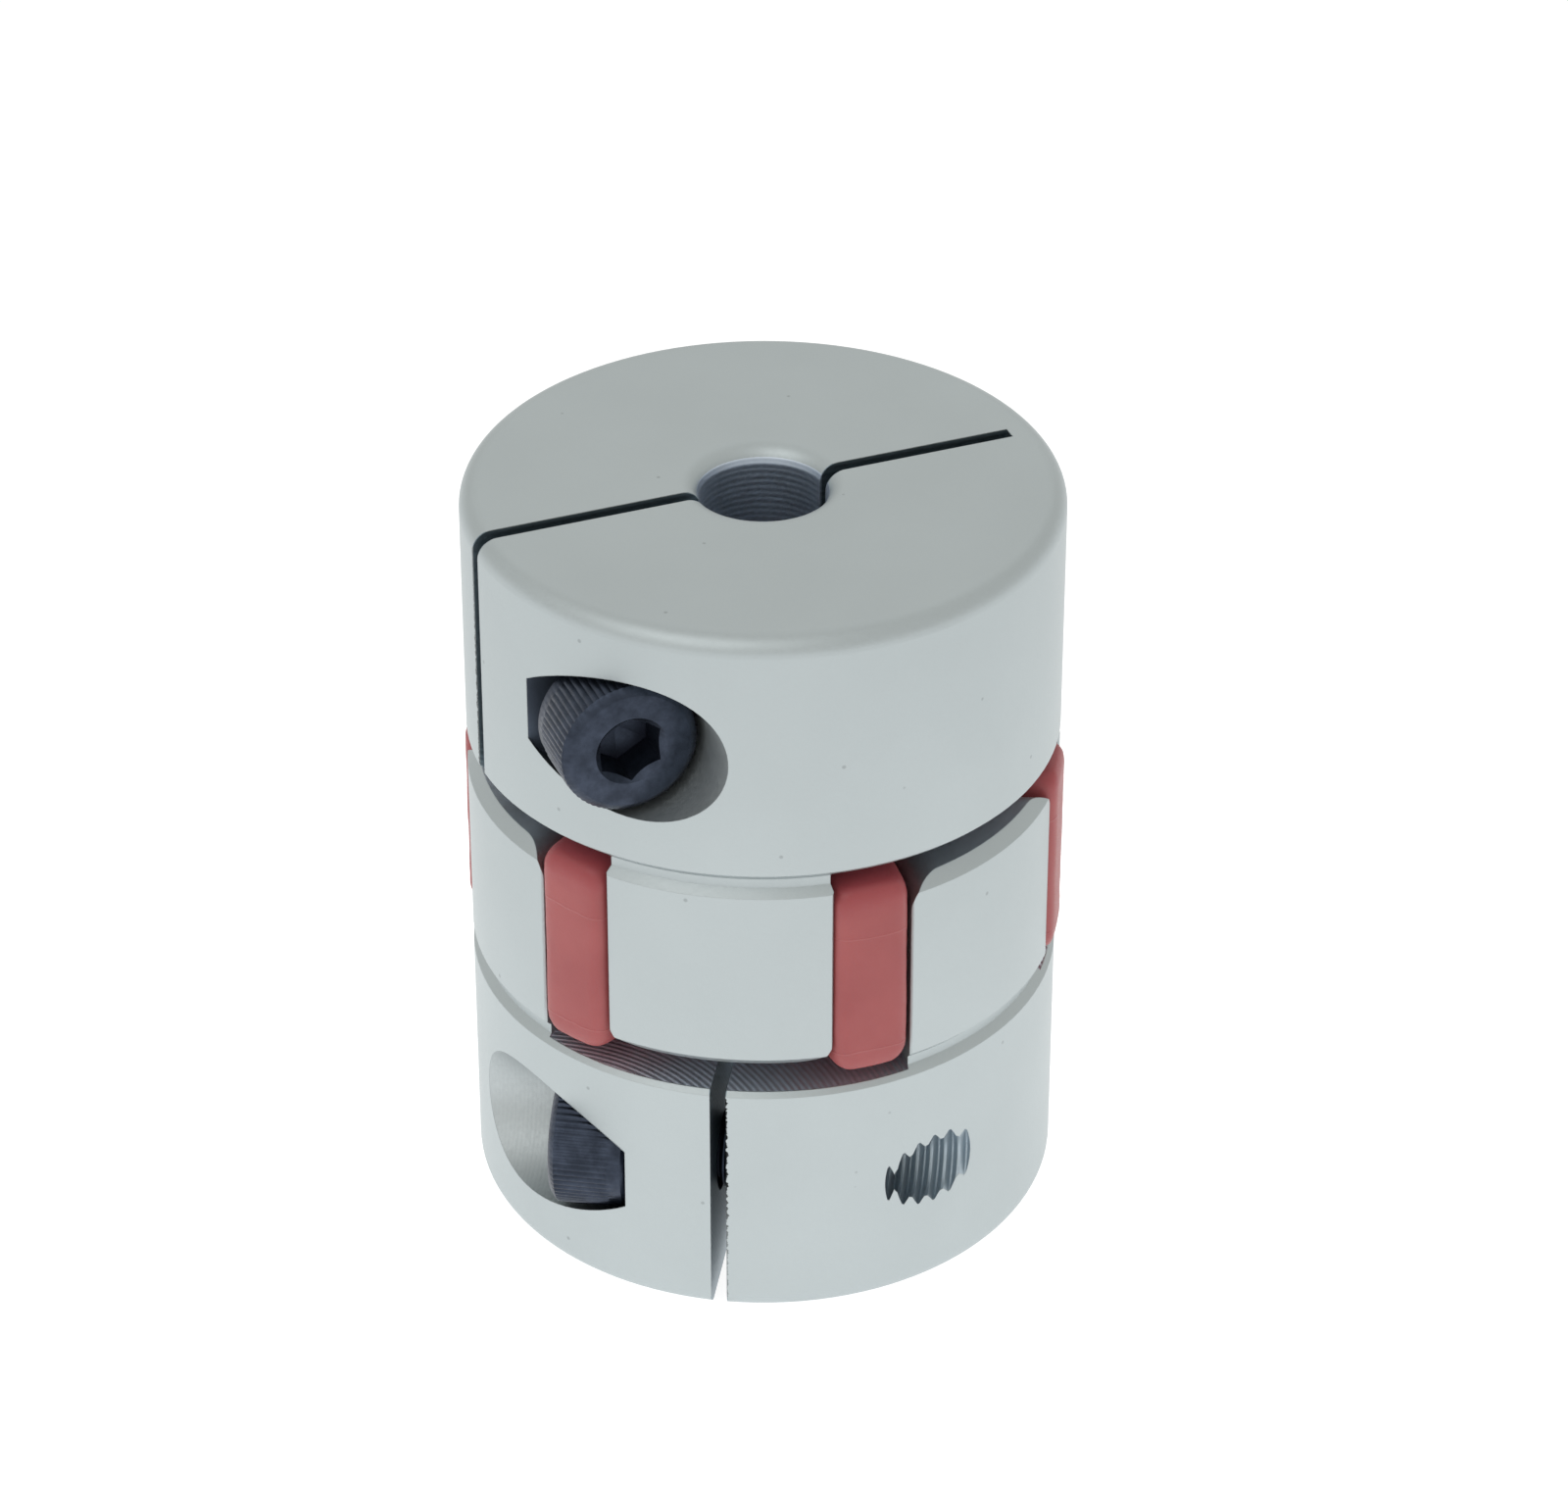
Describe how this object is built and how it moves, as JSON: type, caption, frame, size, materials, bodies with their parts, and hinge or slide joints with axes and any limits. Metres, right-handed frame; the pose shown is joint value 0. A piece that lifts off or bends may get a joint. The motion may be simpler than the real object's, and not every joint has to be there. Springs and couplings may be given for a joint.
{
  "type": "jaw coupling",
  "caption": "Clamping jaw coupling: slit aluminium hubs with interlocking jaws and a red elastomer spider between them, joins two shafts end to end.",
  "frame": {"origin": "middle of the coupling, on the shaft axis", "axes": "+Z along the shaft axis towards the upper hub's end face; +X is the half-turn axis that carries one hub and its screw onto the other"},
  "size_m": [0.0325, 0.03, 0.04],
  "materials": {
    "hub_aluminium": "bead blasted and clear anodised, satin",
    "spider_elastomer": "moulded polyurethane, satin red",
    "screw_steel": "black oxide"
  },
  "bodies": {
    "lower_hub": {"lower_hub": "hub_aluminium"},
    "spider": {"spider": "spider_elastomer"},
    "upper_hub": {"upper_hub": "hub_aluminium"},
    "upper_screw": {"upper_clamp_screw": "screw_steel"},
    "lower_screw": {"lower_clamp_screw": "screw_steel"}
  },
  "joints": [
    {"name": "spider_slide", "type": "slide", "parent": "lower_hub", "child": "spider", "axis": [0, 0, 1], "range_m": [0, 0.012]},
    {"name": "upper_hub_slide", "type": "slide", "parent": "spider", "child": "upper_hub", "axis": [0, 0, 1], "range_m": [0, 0.012]},
    {"name": "upper_screw_turn", "type": "hinge", "parent": "upper_hub", "child": "upper_screw", "pos_m": [0.01248, 0.00012, 0.01295], "axis": [0.5, 0.866, 0], "range_deg": [0, 450]},
    {"name": "lower_screw_turn", "type": "hinge", "parent": "lower_hub", "child": "lower_screw", "pos_m": [0.01178, 0.00109, -0.01295], "axis": [0.5, -0.866, 0], "range_deg": [0, 450]}
  ]
}
